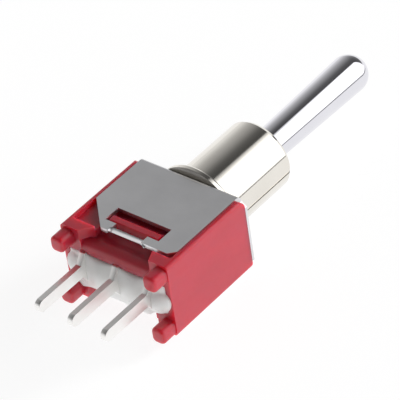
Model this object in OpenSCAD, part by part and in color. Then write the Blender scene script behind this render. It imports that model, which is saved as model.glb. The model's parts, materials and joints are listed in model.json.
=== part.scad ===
// Subminiature toggle switch, centre-off, with three blade terminals. Millimetres.
// The switch lies on its side: lever axis along +Y, terminal row along X, one latch window facing +Z.
// The origin is on the lever axis, at the flange face that seats against a panel.

/* [Case] */
// Length of the case along the row of terminals
case_w = 8.2; // [8:0.1:9]
// Thickness of the case over its end rims
case_t = 5.28; // [5.1:0.02:5.6]
// Depth of the case from under the bracket plate to its base
case_depth = 7.2; // [7:0.05:8]
// Radius of the four long edges of the case
case_edge_r = 0.25; // [0.1:0.05:0.3]
// Thickness of the case end walls
end_wall = 0.6; // [0.5:0.05:0.7]
// Thickness of the space inside the case
cavity_t = 2.4; // [2.3:0.05:2.5]
// Height of the end rims above the underside of the bracket plate
rim_rise = 0.1; // [0.02:0.02:0.2]
// Bevel at the bracket end of the rims, which clears the bend
rim_bevel = 0.45; // [0.3:0.05:0.6]
// Height of the corner pads at the base
pad_h = 0.8; // [0.5:0.02:0.84]
// Length of the recess under each latch, between the pads
recess_w = 4.44; // [4.2:0.02:4.8]
// Length of that recess where it opens at the base
recess_mouth = 5.42; // [5:0.02:5.6]
// Thickness of the case left between the two recesses
recess_core_t = 3.66; // [3.4:0.02:3.74]
// Depth of the potting well in the base
well_depth = 0.6; // [0.4:0.05:0.8]
// Thickness of the end walls of the potting well
well_wall = 0.42; // [0.35:0.01:0.6]
// Width of the potting well across the case
well_t = 2.3; // [2.28:0.02:2.4]

/* [Standoff feet] */
// Width of a foot
foot_w = 0.96; // [0.8:0.02:1.2]
// Height of a foot
foot_h = 1.2; // [0.8:0.05:1.5]
// Radius of the edges of a foot
foot_edge_r = 0.27; // [0.1:0.01:0.3]
// Distance from the sides of a foot to the faces of the case
foot_inset = 0.04; // [0.02:0.01:0.1]

/* [Latches] */
// Width of a latch wedge
latch_w = 3.7; // [3:0.1:3.8]
// Length of the ramp of a latch wedge
latch_ramp = 0.45; // [0.35:0.05:0.45]
// Length of the flat crest of a latch wedge
latch_crest = 0.42; // [0.2:0.02:0.44]
// Slope length of the catch under the crest
latch_catch = 0.18; // [0.1:0.02:0.2]
// Height of the crest above the face that the bracket lies on
latch_h = 0.22; // [0.15:0.01:0.25]

/* [Bracket] */
// Thickness of the sheet
bracket_t = 0.3; // [0.2:0.02:0.36]
// Width of the case rims beside the bracket
rim_w = 0.38; // [0.3:0.02:0.5]
// Outer radius of the bends
bend_r = 0.45; // [0.4:0.05:0.6]
// Gap between the ends of the legs and the pads
leg_gap = 0.14; // [0.1:0.02:0.3]
// Large corner cut on one side of each leg
leg_corner = 2; // [1:0.1:2.2]
// Small corner cut on the other side of each leg
leg_small_corner = 0.35; // [0.2:0.05:0.6]
// Width of the latch window
window_w = 4.1; // [4:0.05:4.3]
// Height of the latch window
window_h = 1.1; // [1.05:0.05:1.4]
// Height of the strip that closes the window
strip_h = 0.83; // [0.7:0.01:1]
// Width of the pressed-in lip in the middle of the strip
lip_w = 2.4; // [2:0.1:2.8]
// Depth of the notch above the lip
lip_notch = 0.33; // [0.2:0.01:0.4]
// Angle at which the lip leans in
lip_angle = 28; // [15:1:30]

/* [Bushing] */
// Outside diameter of the bushing
bushing_d = 4.88; // [4.8:0.02:5.2]
// Height of the bushing above the panel seat
bushing_h = 5.9; // [5:0.1:6.2]
// Diameter of the flange
flange_d = 6.1; // [5.8:0.05:6.6]
// Thickness of the flange
flange_t = 0.35; // [0.3:0.05:0.5]
// Width of the keyway
keyway_w = 1.25; // [0.8:0.05:1.5]
// Depth of the keyway
keyway_depth = 0.3; // [0.2:0.02:0.32]
// Bevel at the rim of the bushing
rim_cut = 0.17; // [0.05:0.01:0.2]
// Wall of the spigot that holds the bushing in the bracket
spigot_wall = 0.32; // [0.28:0.01:0.36]
// Overhang of the swaged edge under the bracket
swage = 0.13; // [0.08:0.01:0.2]
// Height of the swaged edge
swage_h = 0.3; // [0.2:0.02:0.4]

/* [Lever] */
// Diameter of the lever at the mouth of the bushing
lever_neck_d = 2.08; // [1.9:0.02:2.12]
// Diameter of the lever at its round tip
lever_tip_d = 2.52; // [2.3:0.02:2.6]
// Distance from the panel seat to the end of the lever
lever_reach = 16.4; // [12:0.1:20]
// Diameter of the pivot ball
ball_d = 2.96; // [2.9:0.02:3]
// Height of the pivot axis above the panel seat
pivot_h = 2.4; // [2.2:0.05:2.6]
// Angle of the lever to each side of its centre
throw_angle = 12; // [8:0.5:12.5]
// Diameter of the stem below the ball
stem_d = 1.4; // [1.3:0.02:1.44]
// Distance from the panel seat down to the end of the stem
stem_drop = 2.1; // [1.9:0.05:2.2]
// Diameter of the pivot pin
pin_d = 0.7; // [0.5:0.02:0.8]
// Depth of the pin slots in the wall of the ball seat
pin_seat = 0.16; // [0.1:0.01:0.2]
// Room for the lever at the waist of the bore, besides its swing
waist_room = 0.16; // [0.12:0.02:0.18]

/* [Plunger and spring] */
// Diameter of the plunger shank
shank_d = 0.86; // [0.7:0.02:0.9]
// Length of the shank inside the stem
shank_len = 1.2; // [0.8:0.05:1.4]
// Diameter of the plunger head
plunger_head_d = 1.24; // [1:0.02:1.3]
// Length of the straight part of the head
plunger_head_len = 0.75; // [0.5:0.05:0.9]
// Length of the tapered part of the head, with its tip
plunger_taper_len = 1; // [0.8:0.05:1.1]
// Radius of the plunger tip
plunger_tip_r = 0.32; // [0.25:0.01:0.36]
// Travel of the plunger into the stem
plunger_travel = 0.4; // [0.2:0.05:0.5]
// Length of the spring as fitted
spring_len = 1.5; // [1.2:0.05:1.8]
// Thickness of the spring wire
wire_d = 0.14; // [0.1:0.01:0.16]
// Turns of the spring
spring_turns = 6; // [4:1:7]

/* [Contacts and terminals] */
// Distance between neighbouring terminals
pitch = 2.54; // [2.4:0.02:2.6]
// Thickness of the terminal strip
term_t = 0.4; // [0.3:0.02:0.44]
// Width of a terminal inside the case
term_w = 2.2; // [2:0.02:2.24]
// Width of a terminal pin
blade_w = 0.85; // [0.6:0.05:1]
// Length of a terminal pin below the feet
blade_below = 3.3; // [2:0.05:5]
// Distance from the base of the case to the wide end of the shoulder
shoulder_drop = 0.15; // [0.05:0.01:0.3]
// Length of the sloped shoulder
shoulder_h = 0.45; // [0.2:0.05:0.6]
// Gap between a contact tab and the end wall of the case
tab_gap = 0.2; // [0.15:0.01:0.3]
// Margin of a contact tab around its contact
tab_margin = 0.04; // [0.02:0.01:0.06]
// Diameter of a fixed contact
contact_d = 1; // [0.8:0.02:1.04]
// Height of a fixed contact
contact_h = 0.2; // [0.1:0.02:0.3]
// Diameter of the shank that holds a fixed contact
contact_shank_d = 0.44; // [0.3:0.02:0.5]
// Thickness of the rocker strip
rocker_t = 0.3; // [0.2:0.02:0.36]
// Width of the rocker strip
rocker_w = 2; // [1.6:0.05:2.1]
// Half length of the flat in the middle of the rocker
rocker_flat = 0.43; // [0.4:0.01:0.46]
// Rise of the rocker at the ends of that flat
flat_rise = 0.04; // [0.02:0.01:0.06]
// Distance from the fulcrum to the crest of a rocker arm
crest_x = 1.19; // [1.15:0.01:1.22]
// Rise of that crest
crest_rise = 0.23; // [0.2:0.01:0.25]
// Distance from the fulcrum to the flat end of a rocker arm
arm_x = 2.16; // [2.1:0.01:2.2]
// How far a rocker arm reaches past the middle of its contact
arm_over = 0.4; // [0.3:0.01:0.45]
// Wall of the saddle under the rocker
saddle_wall = 0.22; // [0.18:0.01:0.26]
// Angle that the rocker turns for each degree of the lever
rocker_ratio = 0.6; // [0.4:0.05:0.6]
// Radius of the coined contact under each rocker arm
coin_r = 0.5; // [0.4:0.02:0.6]
// Depth of the coined contact under the arm
coin_h = 0.15; // [0.1:0.01:0.2]

/* [Potting] */
// Radius of the potting bead across the row
bead_r = 1.36; // [1.2:0.02:1.4]
// Distance from the row of terminals to the middle of the bead
bead_shift = 0.4; // [0:0.05:0.4]
// How far the bead sinks at each terminal
bead_dip = 0.4; // [0.2:0.02:0.5]

/* [Fits] */
// Clearance between pieces that are pressed or set together
set_gap = 0.02; // [0.01:0.005:0.03]
// Radial clearance of a part that turns or slides
run_gap = 0.03; // [0.02:0.005:0.05]
// Radial clearance of the ball in its seat
ball_gap = 0.07; // [0.05:0.01:0.1]
// Clearance around the swinging lever
swing_gap = 0.13; // [0.1:0.01:0.15]
// Gap between the plunger tip and the rocker
tip_gap = 0.07; // [0.06:0.01:0.12]
// Gap between closed contacts
closed_gap = 0.02; // [0.01:0.01:0.05]

/* [Hidden] */
$fn = 64;
spare = 1;
plastic_red = "#b5222c";
sheet_steel = "#a9aaac";
nickel = "#c9c6bf";
chrome_steel = "#d3d5d8";
pin_steel = "#9a9a9a";
nylon = "#e8e4d6";
spring_steel = "#8c8c8c";
silver_copper = "#c8c4ba";
contact_silver = "#dedede";
resin_white = "#e6e5e0";

plate_top = -flange_t;
plate_under = plate_top - bracket_t;
rim_top = plate_under + rim_rise;
case_base = plate_under - case_depth;
feet_end = case_base - foot_h;
bracket_w = case_w - 2 * rim_w;
leg_face = case_t / 2 - bracket_t - set_gap;
leg_end = case_base + pad_h + leg_gap;
window_low = leg_end + strip_h;
window_top = window_low + window_h;
lip_top = window_low - lip_notch;
catch_z = window_low + set_gap;

seat_r = ball_d / 2 + ball_gap;
spigot_r = seat_r + spigot_wall;
swage_r = spigot_r + swage;
spigot_end = plate_under - swage_h;
neck_r = lever_neck_d / 2 + swing_gap + waist_room;
neck_z = pivot_h + sqrt(seat_r * seat_r - neck_r * neck_r);
mouth_r = (bushing_h - pivot_h) * tan(throw_angle) + lever_neck_d / 2 / cos(throw_angle) + swing_gap;
keyway_x = bushing_d / 2 - keyway_depth;
slot_reach = seat_r + pin_seat;
pin_len = 2 * (slot_reach - set_gap);

stem_end = -stem_drop;
head_top = stem_end - plunger_travel - set_gap;
taper_top = head_top - plunger_head_len;
tip_z = taper_top - plunger_taper_len;
shank_top = stem_end + shank_len;
stem_bore_r = shank_d / 2 + run_gap;
stem_bore_top = shank_top + spring_len;
coil_r = stem_bore_r - run_gap - wire_d / 2;

rocker_rise = rocker_t + term_t / 2 + run_gap;
fulcrum_z = tip_z - tip_gap - rocker_rise;
rocker_turn = throw_angle * rocker_ratio;
tab_l = contact_d + 2 * tab_margin;
contact_x = case_w / 2 - end_wall - tab_gap - tab_l / 2;
arm_low = -rocker_t / 3;
arm_high = arm_low + rocker_t;
coin_z = arm_low - coin_h + coin_r;
coin_low = -contact_x * sin(rocker_turn) + coin_z * cos(rocker_turn) - coin_r;
contact_top = fulcrum_z + coin_low - closed_gap;
tab_top = contact_top - contact_h;
cavity_floor = tab_top - term_t;
well_floor = case_base + well_depth;
blade_end = feet_end - blade_below;
shoulder_top = case_base - shoulder_drop;
shoulder_low = shoulder_top - shoulder_h;

// Lays the switch down, lever along +Y
module lay_down() {
    rotate([-90, 0, 0]) children();
}

// Draws its children on both broad faces
module both_faces() {
    children();
    mirror([0, 1, 0]) children();
}

// Box centred on the lever axis, between two heights
module block(size_x, size_y, low, high) {
    translate([-size_x / 2, -size_y / 2, low]) cube([size_x, size_y, high - low]);
}

// Round bar along the row of terminals
module bar_x(radius, length) {
    rotate([0, 90, 0]) cylinder(r = radius, h = length, center = true);
}

// Round bar across the broad faces
module bar_y(radius, length) {
    rotate([90, 0, 0]) cylinder(r = radius, h = length, center = true);
}

// Outline of depth and height, drawn along the row
module prism_x(length, outline) {
    rotate([90, 0, 90]) linear_extrude(height = length, center = true) polygon(outline);
}

// Outline of row position and height, drawn across the faces
module prism_y(length, outline) {
    rotate([90, 0, 0]) linear_extrude(height = length, center = true) polygon(outline);
}

// Box with round long edges
module round_block(size_x, size_y, low, high, edge_r) {
    block(size_x - 2 * edge_r, size_y, low, high);
    block(size_x, size_y - 2 * edge_r, low, high);
    for (sx = [-1, 1], sy = [-1, 1])
        translate([sx * (size_x / 2 - edge_r), sy * (size_y / 2 - edge_r), low])
            cylinder(r = edge_r, h = high - low);
}

// Standoff foot with round edges, hanging from height zero
module foot() {
    flat = foot_w - 2 * foot_edge_r;
    round_block(foot_w, foot_w, foot_edge_r - foot_h, 0, foot_edge_r);
    block(flat, flat, -foot_h, 0);
    translate([0, 0, foot_edge_r - foot_h]) {
        for (s = [-1, 1]) {
            translate([0, s * flat / 2, 0]) bar_x(foot_edge_r, flat);
            translate([s * flat / 2, 0, 0]) bar_y(foot_edge_r, flat);
        }
        for (sx = [-1, 1], sy = [-1, 1])
            translate([sx * flat / 2, sy * flat / 2, 0]) sphere(r = foot_edge_r);
    }
}

// Wedge that the bracket leg rides over and snaps behind
module latch() {
    crest = leg_face + latch_h;
    crest_low = catch_z + latch_catch;
    crest_top = crest_low + latch_crest;
    prism_x(latch_w, [
        [-recess_core_t / 2, catch_z],
        [-leg_face, catch_z],
        [-crest, crest_low],
        [-crest, crest_top],
        [-leg_face, crest_top + latch_ramp],
        [-recess_core_t / 2, crest_top + latch_ramp]
    ]);
}

// Bevel along one broad face, under a given height
module bevel_cut(length, top) {
    deep = case_t / 2 + spare;
    prism_x(length, [
        [-deep, top - rim_bevel - spare],
        [-case_t / 2 + rim_bevel + spare, top + spare],
        [-deep, top + spare]
    ]);
}

// Spaces that the bracket legs and the pulled latch cores leave in one broad face
module face_cuts() {
    deep = case_t / 2 + spare;
    channel_w = bracket_w + 2 * set_gap;
    translate([-channel_w / 2, -deep, case_base + pad_h])
        cube([channel_w, deep - leg_face, case_depth + spare]);
    recess_deep = deep - recess_core_t / 2;
    translate([0, -recess_core_t / 2 - recess_deep / 2, 0]) prism_y(recess_deep, [
        [-recess_mouth / 2, case_base - spare],
        [-recess_mouth / 2, case_base],
        [-recess_w / 2, case_base + pad_h],
        [-recess_w / 2, catch_z],
        [recess_w / 2, catch_z],
        [recess_w / 2, case_base + pad_h],
        [recess_mouth / 2, case_base],
        [recess_mouth / 2, case_base - spare]
    ]);
    bevel_cut(case_w + spare, rim_top);
    bevel_cut(channel_w, plate_under);
}

module case() {
    foot_x = case_w / 2 - foot_inset - foot_w / 2;
    foot_y = case_t / 2 - foot_inset - foot_w / 2;
    color(plastic_red) lay_down() difference() {
        union() {
            difference() {
                round_block(case_w, case_t, case_base, rim_top, case_edge_r);
                block(bracket_w + 2 * set_gap, case_t + spare, plate_under, rim_top + spare);
                both_faces() face_cuts();
            }
            both_faces() latch();
            for (sx = [-1, 1], sy = [-1, 1])
                translate([sx * foot_x, sy * foot_y, case_base]) foot();
        }
        block(case_w - 2 * end_wall, cavity_t, cavity_floor, plate_under + spare);
        block(case_w - 2 * well_wall, well_t, case_base - spare, well_floor);
        translate([0, 0, spigot_end - set_gap]) cylinder(r = swage_r + run_gap, h = swage_h + spare);
        for (i = [-1:1])
            translate([i * pitch, 0, 0])
                block(term_t + 2 * set_gap, term_w + 2 * set_gap, case_base - spare, cavity_floor + spare);
    }
}

// Solid with two round top edges, as the sheet wraps round it
module bend_block(size_y, top, low, edge_r) {
    block(bracket_w, size_y, low, top - edge_r);
    block(bracket_w, size_y - 2 * edge_r, low, top);
    for (sy = [-1, 1])
        translate([0, sy * (size_y / 2 - edge_r), top - edge_r]) bar_x(edge_r, bracket_w);
}

// Window and corner cuts of one leg
module leg_cuts() {
    half = bracket_w / 2;
    cut = 2 * (bracket_t + spare);
    translate([0, -case_t / 2, 0]) {
        block(window_w, cut, window_low, window_top);
        block(lip_w, cut, leg_end - spare, window_low + set_gap);
        prism_y(cut, [
            [-half - spare, leg_end + leg_corner + spare],
            [-half + leg_corner + spare, leg_end - spare],
            [-half - spare, leg_end - spare]
        ]);
        prism_y(cut, [
            [half + spare, leg_end + leg_small_corner + spare],
            [half - leg_small_corner - spare, leg_end - spare],
            [half + spare, leg_end - spare]
        ]);
    }
}

// Middle of the strip, its upper edge pressed in under the latch
module leg_lip() {
    translate([0, -case_t / 2, leg_end]) rotate([-lip_angle, 0, 0])
        translate([0, bracket_t / 2, 0])
            block(lip_w + bracket_t / 2, bracket_t, 0, lip_top - leg_end);
}

module bracket() {
    color(sheet_steel) lay_down() {
        difference() {
            bend_block(case_t, plate_top, leg_end, bend_r);
            bend_block(case_t - 2 * bracket_t, plate_under, leg_end - spare, bend_r - bracket_t);
            translate([0, 0, plate_under - spare]) cylinder(r = spigot_r + set_gap, h = bracket_t + 2 * spare);
            both_faces() leg_cuts();
        }
        both_faces() leg_lip();
    }
}

// Inside of the bushing: ball seat from below, waist and flared mouth
module bushing_bore() {
    translate([0, 0, spigot_end - spare]) cylinder(r = seat_r, h = pivot_h - spigot_end + spare);
    translate([0, 0, pivot_h]) sphere(r = seat_r);
    translate([0, 0, neck_z]) cylinder(r1 = neck_r, r2 = mouth_r, h = bushing_h - neck_z);
    translate([0, 0, bushing_h]) cylinder(r = mouth_r, h = spare);
    translate([0, 0, pivot_h]) bar_y(pin_d / 2 + run_gap, 2 * slot_reach);
    block(pin_d + 2 * run_gap, 2 * slot_reach, spigot_end - spare, pivot_h);
}

module bushing() {
    color(nickel) lay_down() difference() {
        union() {
            cylinder(d = bushing_d, h = bushing_h - rim_cut);
            translate([0, 0, bushing_h - rim_cut])
                cylinder(d1 = bushing_d, d2 = bushing_d - 2 * rim_cut, h = rim_cut);
            translate([0, 0, plate_top]) cylinder(d = flange_d, h = flange_t);
            translate([0, 0, spigot_end]) cylinder(r = spigot_r, h = plate_top - spigot_end);
            translate([0, 0, spigot_end]) cylinder(r = swage_r, h = swage_h);
        }
        bushing_bore();
        translate([keyway_x, -keyway_w / 2, 0]) cube([keyway_depth + spare, keyway_w, bushing_h + spare]);
    }
}

module lever() {
    tip_r = lever_tip_d / 2;
    color(chrome_steel) lay_down() difference() {
        union() {
            translate([0, 0, stem_end]) cylinder(d = stem_d, h = pivot_h - stem_end);
            translate([0, 0, pivot_h]) sphere(d = ball_d);
            translate([0, 0, pivot_h]) cylinder(d = lever_neck_d, h = bushing_h - pivot_h);
            translate([0, 0, bushing_h])
                cylinder(d1 = lever_neck_d, d2 = lever_tip_d, h = lever_reach - tip_r - bushing_h);
            translate([0, 0, lever_reach - tip_r]) sphere(r = tip_r);
        }
        translate([0, 0, pivot_h]) bar_y(pin_d / 2 + set_gap / 2, ball_d + spare);
        translate([0, 0, stem_end - spare]) cylinder(r = stem_bore_r, h = stem_bore_top - stem_end + spare);
    }
}

module pivot_pin() {
    color(pin_steel) lay_down() translate([0, 0, pivot_h]) bar_y(pin_d / 2, pin_len);
}

module plunger() {
    taper_end = tip_z + plunger_tip_r;
    color(nylon) lay_down() {
        translate([0, 0, head_top - set_gap]) cylinder(d = shank_d, h = shank_top - head_top + set_gap);
        translate([0, 0, taper_top]) cylinder(d = plunger_head_d, h = plunger_head_len);
        translate([0, 0, taper_end])
            cylinder(r1 = plunger_tip_r, d2 = plunger_head_d, h = taper_top - taper_end);
        translate([0, 0, taper_end]) sphere(r = plunger_tip_r);
    }
}

// Ring of points round the spring wire, at a share of the way along the coil
function wire_ring(share, sides) = let (
        turn = 360 * spring_turns * share,
        rise = shank_top + wire_d / 2 + (spring_len - wire_d) * share
    ) [for (k = [0:sides - 1]) let (
        a = 360 * k / sides,
        r = coil_r + wire_d / 2 * cos(a)
    ) [r * cos(turn), r * sin(turn), rise + wire_d / 2 * sin(a)]];

module plunger_spring() {
    sides = 8;
    rings_per_turn = 18;
    rings = rings_per_turn * spring_turns;
    points = [for (i = [0:rings]) each wire_ring(i / rings, sides)];
    skin = [for (i = [0:rings - 1], k = [0:sides - 1]) let (n = (k + 1) % sides)
        [i * sides + k, (i + 1) * sides + k, (i + 1) * sides + n, i * sides + n]];
    ends = [[for (k = [0:sides - 1]) k], [for (k = [sides - 1:-1:0]) rings * sides + k]];
    color(spring_steel) lay_down() polyhedron(points, concat(skin, ends));
}

// Upper edge of one rocker arm, from the fulcrum outwards
rocker_edge = [
    [0, rocker_rise],
    [rocker_flat, rocker_rise + flat_rise],
    [crest_x, rocker_rise + crest_rise],
    [arm_x, arm_high],
    [contact_x + arm_over, arm_high]
];

module rocker() {
    last = len(rocker_edge) - 1;
    under = [for (i = [last:-1:0]) rocker_edge[i] - [0, rocker_t]];
    saddle_r = term_t / 2 + run_gap + saddle_wall;
    color(silver_copper) lay_down() translate([0, 0, fulcrum_z]) difference() {
        union() {
            for (side = [0, 1]) mirror([side, 0, 0]) {
                prism_y(rocker_w, concat(rocker_edge, under));
                translate([contact_x, 0, 0]) difference() {
                    translate([0, 0, coin_z]) sphere(r = coin_r);
                    block(contact_d + spare, contact_d + spare, arm_low + rocker_t / 2, arm_low + spare + coin_r);
                }
            }
            difference() {
                bar_y(saddle_r, rocker_w);
                block(contact_x, rocker_w + spare, -spare, -run_gap);
            }
        }
        bar_y(term_t / 2 + run_gap, rocker_w + spare);
    }
}

// Flat blade with sloped shoulders and a round pin end, up to a given height
module blade(top, grow) {
    wide = term_w / 2 + grow;
    slim = blade_w / 2 + grow;
    prism_x(term_t + 2 * grow, [
        [-wide, top],
        [-wide, shoulder_top],
        [-slim, shoulder_low],
        [-slim, blade_end + blade_w / 2],
        [slim, blade_end + blade_w / 2],
        [slim, shoulder_low],
        [wide, shoulder_top],
        [wide, top]
    ]);
    translate([0, 0, blade_end + blade_w / 2]) bar_x(slim, term_t + 2 * grow);
}

// End terminal with a contact tab, drawn at the right end of the row
module end_terminal() {
    difference() {
        union() {
            translate([pitch, 0, 0]) blade(tab_top, 0);
            translate([contact_x, 0, 0]) block(tab_l, term_w, cavity_floor, tab_top);
        }
        translate([contact_x, 0, cavity_floor])
            cylinder(d = contact_shank_d + set_gap, h = term_t + spare);
    }
}

// Silver rivet, drawn at the right end of the row
module fixed_contact() {
    translate([contact_x, 0, tab_top]) cylinder(d = contact_d, h = contact_h);
    translate([contact_x, 0, cavity_floor]) cylinder(d = contact_shank_d, h = term_t);
}

module left_terminal() {
    color(silver_copper) lay_down() mirror([1, 0, 0]) end_terminal();
}

module right_terminal() {
    color(silver_copper) lay_down() end_terminal();
}

module common_terminal() {
    color(silver_copper) lay_down() {
        blade(fulcrum_z, 0);
        translate([0, 0, fulcrum_z]) bar_y(term_t / 2, term_w);
    }
}

module left_contact() {
    color(contact_silver) lay_down() mirror([1, 0, 0]) fixed_contact();
}

module right_contact() {
    color(contact_silver) lay_down() fixed_contact();
}

// Radius of the potting bead along the row, with a dip at each terminal and round ends
function bead(x, reach) = let (
        lobe = bead_r - bead_dip * (1 + cos(360 * x / pitch)) / 2,
        over = max(abs(x) - (reach - bead_r), 0)
    ) min(lobe, sqrt(max(bead_r * bead_r - over * over, 0)));

module potting() {
    steps = 40;
    reach = case_w / 2 - well_wall;
    outline = [for (i = [0:steps]) let (x = reach * (2 * i / steps - 1)) [bead(x, reach), x]];
    color(resin_white) lay_down() difference() {
        union() {
            block(2 * reach, well_t, case_base, well_floor);
            translate([0, bead_shift, 0]) difference() {
                translate([0, 0, well_floor]) rotate([0, 90, 0]) rotate_extrude() polygon(outline);
                block(case_w, 3 * bead_r, case_base, well_floor + 2 * bead_r);
            }
        }
        for (i = [-1:1]) translate([i * pitch, 0, 0]) blade(well_floor + spare, set_gap / 2);
    }
}

case();
bracket();
bushing();
lever();
pivot_pin();
plunger();
plunger_spring();
rocker();
left_terminal();
common_terminal();
right_terminal();
left_contact();
right_contact();
potting();
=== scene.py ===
import json
import math
import bmesh
import bpy
from mathutils import Matrix, Vector, noise


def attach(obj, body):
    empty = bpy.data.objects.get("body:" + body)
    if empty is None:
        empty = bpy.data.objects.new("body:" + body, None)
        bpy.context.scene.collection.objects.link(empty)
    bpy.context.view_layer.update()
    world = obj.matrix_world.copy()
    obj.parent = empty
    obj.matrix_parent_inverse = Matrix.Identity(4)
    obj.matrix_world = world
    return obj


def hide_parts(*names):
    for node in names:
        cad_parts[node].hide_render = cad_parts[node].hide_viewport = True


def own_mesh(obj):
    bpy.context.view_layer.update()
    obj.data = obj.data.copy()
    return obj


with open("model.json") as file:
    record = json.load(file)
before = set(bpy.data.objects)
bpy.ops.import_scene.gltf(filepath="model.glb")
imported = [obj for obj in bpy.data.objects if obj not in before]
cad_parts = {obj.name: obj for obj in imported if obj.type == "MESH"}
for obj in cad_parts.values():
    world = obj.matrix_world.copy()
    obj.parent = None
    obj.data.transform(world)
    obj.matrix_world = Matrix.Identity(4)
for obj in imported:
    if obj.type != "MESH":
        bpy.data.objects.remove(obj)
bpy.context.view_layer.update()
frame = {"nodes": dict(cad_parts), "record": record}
record = frame["record"]
nodes = frame["nodes"]
mm = 0.001  # pieces are drawn in millimetres and scaled down at the end
print("frame loaded, nodes:", len(nodes))


# material helpers

def newMaterial(name, metallic=0.0):
    material = bpy.data.materials.new(name)
    material.use_nodes = True
    tree = material.node_tree
    tree.nodes.clear()
    output = tree.nodes.new("ShaderNodeOutputMaterial")
    shader = tree.nodes.new("ShaderNodeBsdfPrincipled")
    shader.inputs["Metallic"].default_value = metallic
    tree.links.new(shader.outputs["BSDF"], output.inputs["Surface"])
    return material, tree, shader


def addNode(tree, kind, values=None, **settings):
    node = tree.nodes.new(kind)
    for key, value in settings.items():
        setattr(node, key, value)
    for key, value in (values or {}).items():
        node.inputs[key].default_value = value
    return node


def objectNoise(tree, scale, detail=3.0, rough=0.5, stretch=(1, 1, 1)):
    place = addNode(tree, "ShaderNodeTexCoord")
    mapping = addNode(tree, "ShaderNodeMapping", {"Scale": stretch})
    cloud = addNode(tree, "ShaderNodeTexNoise", {"Scale": scale, "Detail": detail, "Roughness": rough})
    tree.links.new(place.outputs["Object"], mapping.inputs["Vector"])
    tree.links.new(mapping.outputs["Vector"], cloud.inputs["Vector"])
    return cloud.outputs["Fac"]


def spread(tree, source, low, high, fromLow=0.3, fromHigh=0.7):
    span = addNode(tree, "ShaderNodeMapRange", {"From Min": fromLow, "From Max": fromHigh,
                                                "To Min": low, "To Max": high})
    tree.links.new(source, span.inputs["Value"])
    return span.outputs["Result"]


def tinted(tree, source, dark, light, fromLow=0.3, fromHigh=0.7):
    ramp = addNode(tree, "ShaderNodeValToRGB")
    ramp.color_ramp.elements[0].position = fromLow
    ramp.color_ramp.elements[0].color = (*dark, 1)
    ramp.color_ramp.elements[1].position = fromHigh
    ramp.color_ramp.elements[1].color = (*light, 1)
    tree.links.new(source, ramp.inputs["Fac"])
    return ramp.outputs["Color"]


def bumped(tree, shader, source, strength, distance):
    bump = addNode(tree, "ShaderNodeBump", {"Strength": strength, "Distance": distance})
    tree.links.new(source, bump.inputs["Height"])
    tree.links.new(bump.outputs["Normal"], shader.inputs["Normal"])


def mixedColour(tree, share, first, second):
    mix = addNode(tree, "ShaderNodeMix", data_type="RGBA")
    tree.links.new(share, mix.inputs["Factor"])
    for socket, value in ((mix.inputs[6], first), (mix.inputs[7], second)):
        if isinstance(value, tuple):
            socket.default_value = (*value, 1)
        else:
            tree.links.new(value, socket)
    return mix.outputs[2]


def coloured(tree, shader, source, dark, light):
    tree.links.new(tinted(tree, source, dark, light), shader.inputs["Base Color"])


def roughened(tree, shader, source, low, high):
    tree.links.new(spread(tree, source, low, high), shader.inputs["Roughness"])


def glowing(shader, weight, reach):
    shader.inputs["Subsurface Weight"].default_value = weight
    shader.inputs["Subsurface Radius"].default_value = reach  # metres for red, green and blue
    shader.inputs["Subsurface Scale"].default_value = 1.0


# a pattern is its scale, detail, roughness and stretch; a depth is its strength and distance

redLook = {
    "flow": (420, 4.0, 0.55, (1, 0.35, 1)), "dark": (0.475, 0.019, 0.044), "light": (0.535, 0.023, 0.054),
    "haze": (2600, 3.0), "rough": (0.3, 0.4), "shine": 0.7, "glow": (1.0, (0.0013, 0.0001, 0.00012)),
    "pebble": (6000, 3.0, 0.6), "pebbleDepth": (0.1, 0.00001),
}


def redPlastic(s):
    material, tree, shader = newMaterial("redPlastic")
    coloured(tree, shader, objectNoise(tree, *s["flow"]), s["dark"], s["light"])
    roughened(tree, shader, objectNoise(tree, *s["haze"]), *s["rough"])
    shader.inputs["Specular IOR Level"].default_value = s["shine"]
    glowing(shader, *s["glow"])
    bumped(tree, shader, objectNoise(tree, *s["pebble"]), *s["pebbleDepth"])
    return material


steelLook = {
    "blotch": (380, 4.0, 0.6), "dark": (0.72, 0.72, 0.735), "light": (0.79, 0.79, 0.805),
    "grain": (900, 5.0, 0.65, (1, 9, 1)), "rough": (0.28, 0.38),
    "pits": (7000, 4.0, 0.7, (1, 3, 1)), "pitDepth": (0.22, 0.000012),
}


def satinSteel(s):
    material, tree, shader = newMaterial("satinSteel", 1.0)
    coloured(tree, shader, objectNoise(tree, *s["blotch"]), s["dark"], s["light"])
    roughened(tree, shader, objectNoise(tree, *s["grain"]), *s["rough"])
    bumped(tree, shader, objectNoise(tree, *s["pits"]), *s["pitDepth"])
    return material


plateLook = {
    "cloud": (500, 3.0), "lathe": (1500, 4.0, 0.6, (0.4, 14, 0.4)), "latheDepth": (0.08, 0.000006),
    "nickelPlate": ((0.79, 0.757, 0.7), (0.83, 0.798, 0.742), (0.07, 0.12)),
    "chromePlate": ((0.76, 0.755, 0.8), (0.79, 0.785, 0.83), (0.05, 0.08)),
}


def turnedPlate(s, name):
    dark, light, rough = s[name]
    material, tree, shader = newMaterial(name, 1.0)
    lathe = objectNoise(tree, *s["lathe"])
    coloured(tree, shader, objectNoise(tree, *s["cloud"]), dark, light)
    roughened(tree, shader, lathe, *rough)
    bumped(tree, shader, lathe, *s["latheDepth"])
    return material


stripLook = {
    "tarnish": (1300, 5.0, 0.6, (1, 0.5, 1)), "dark": (0.91, 0.898, 0.88), "light": (0.96, 0.952, 0.94),
    "grain": (4000, 4.0, 0.6, (1, 0.2, 1)), "rough": (0.32, 0.42),
    "marks": (3000, 3.0, 0.6, (1, 0.25, 1)), "markDepth": (0.06, 0.000008),
}


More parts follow.
